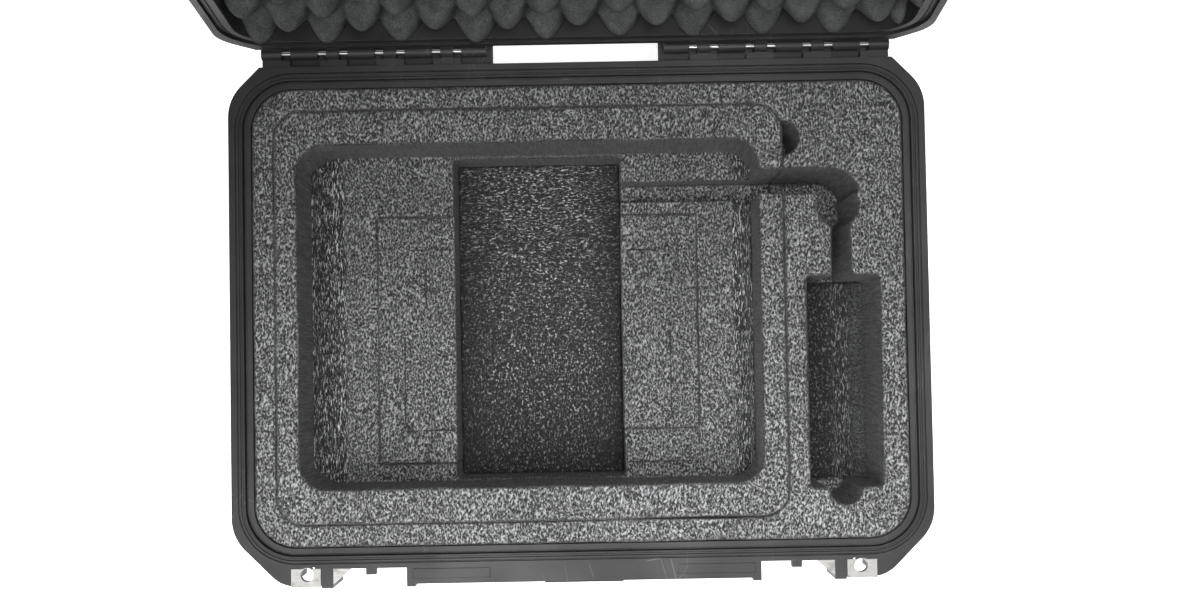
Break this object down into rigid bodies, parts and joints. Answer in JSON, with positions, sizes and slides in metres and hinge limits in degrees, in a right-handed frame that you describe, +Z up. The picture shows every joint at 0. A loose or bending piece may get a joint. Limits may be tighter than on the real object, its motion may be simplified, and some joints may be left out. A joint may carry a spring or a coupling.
{
  "type": "drone carrying case",
  "caption": "Waterproof moulded carrying case with an egg-crate lid, cut foam for a drone and charger, two hinges, trigger latches and a folding handle.",
  "frame": {"origin": "centre of the base's feet, on the floor, below the middle of the foam-lined opening", "axes": "+X to the right seen from the front, +Y towards the hinge, +Z up; the lid is open"},
  "size_m": [0.502, 0.4879, 0.5478],
  "materials": {
    "case_plastic": "matte",
    "latch_plastic": "satin",
    "gasket_rubber": "matte",
    "grip_rubber": "matte",
    "steel": "satin",
    "plate_steel": "satin",
    "membrane": "matte",
    "base_foam": "matte",
    "lid_foam": "matte"
  },
  "bodies": {
    "base": {"base_shell": "case_plastic", "hinge_pin_left": "steel", "hinge_pin_right": "steel", "padlock_plate_left": "plate_steel", "padlock_plate_right": "plate_steel", "corner_plate_left": "plate_steel", "corner_plate_right": "plate_steel", "handle_pins": "steel", "valve_body": "latch_plastic", "valve_nut": "latch_plastic", "valve_seal": "gasket_rubber", "valve_membrane": "membrane", "foam_surround": "base_foam", "foam_lower_block": "base_foam", "foam_floor_pad": "base_foam", "foam_pocket_pad": "base_foam"},
    "lid": {"lid_shell": "case_plastic", "lid_gasket": "gasket_rubber", "lid_padlock_plate_left": "plate_steel", "lid_padlock_plate_right": "plate_steel", "latch_pin_left": "steel", "latch_pin_right": "steel", "lid_foam": "lid_foam"},
    "handle": {"handle_core": "latch_plastic", "handle_grip": "grip_rubber"},
    "foam_tray": {"foam_tray": "base_foam"},
    "latch_left": {"latch_body_left": "latch_plastic", "trigger_pin_left": "steel", "trigger_spring_left": "steel"},
    "trigger_left": {"trigger_left": "latch_plastic"},
    "shelf_insert_left": {"shelf_insert_left": "base_foam"},
    "latch_right": {"latch_body_right": "latch_plastic", "trigger_pin_right": "steel", "trigger_spring_right": "steel"},
    "trigger_right": {"trigger_right": "latch_plastic"},
    "shelf_insert_right": {"shelf_insert_right": "base_foam"}
  },
  "joints": [
    {"name": "lid_hinge", "type": "hinge", "parent": "base", "child": "lid", "pos_m": [0, 0.19, 0.135], "axis": [1, 0, 0], "range_deg": [0, 97.6]},
    {"name": "handle_swing", "type": "hinge", "parent": "base", "child": "handle", "pos_m": [0, -0.1815, 0.117], "axis": [-1, 0, 0], "range_deg": [0, 95]},
    {"name": "tray_lift", "type": "slide", "parent": "base", "child": "foam_tray", "axis": [0, 0, -1], "range_m": [-0.16, 0]},
    {"name": "latch_left_swing", "type": "hinge", "parent": "lid", "child": "latch_left", "pos_m": [-0.1525, 0.25361, 0.50584], "axis": [1, 0, 0], "range_deg": [-65, 35]},
    {"name": "trigger_left_press", "type": "hinge", "parent": "latch_left", "child": "trigger_left", "pos_m": [-0.1525, 0.24493, 0.51858], "axis": [1, 0, 0], "range_deg": [0, 10], "stiffness_Nm_per_rad": 0.03, "springref_deg": -20.05},
    {"name": "insert_left_lift", "type": "slide", "parent": "base", "child": "shelf_insert_left", "axis": [0, 0, -1], "range_m": [-0.13, 0]},
    {"name": "latch_right_swing", "type": "hinge", "parent": "lid", "child": "latch_right", "pos_m": [0.1525, 0.25361, 0.50584], "axis": [1, 0, 0], "range_deg": [-65, 35]},
    {"name": "trigger_right_press", "type": "hinge", "parent": "latch_right", "child": "trigger_right", "pos_m": [0.1525, 0.24493, 0.51858], "axis": [1, 0, 0], "range_deg": [0, 10], "stiffness_Nm_per_rad": 0.03, "springref_deg": -20.05},
    {"name": "insert_right_lift", "type": "slide", "parent": "base", "child": "shelf_insert_right", "axis": [0, 0, -1], "range_m": [-0.13, 0]}
  ]
}
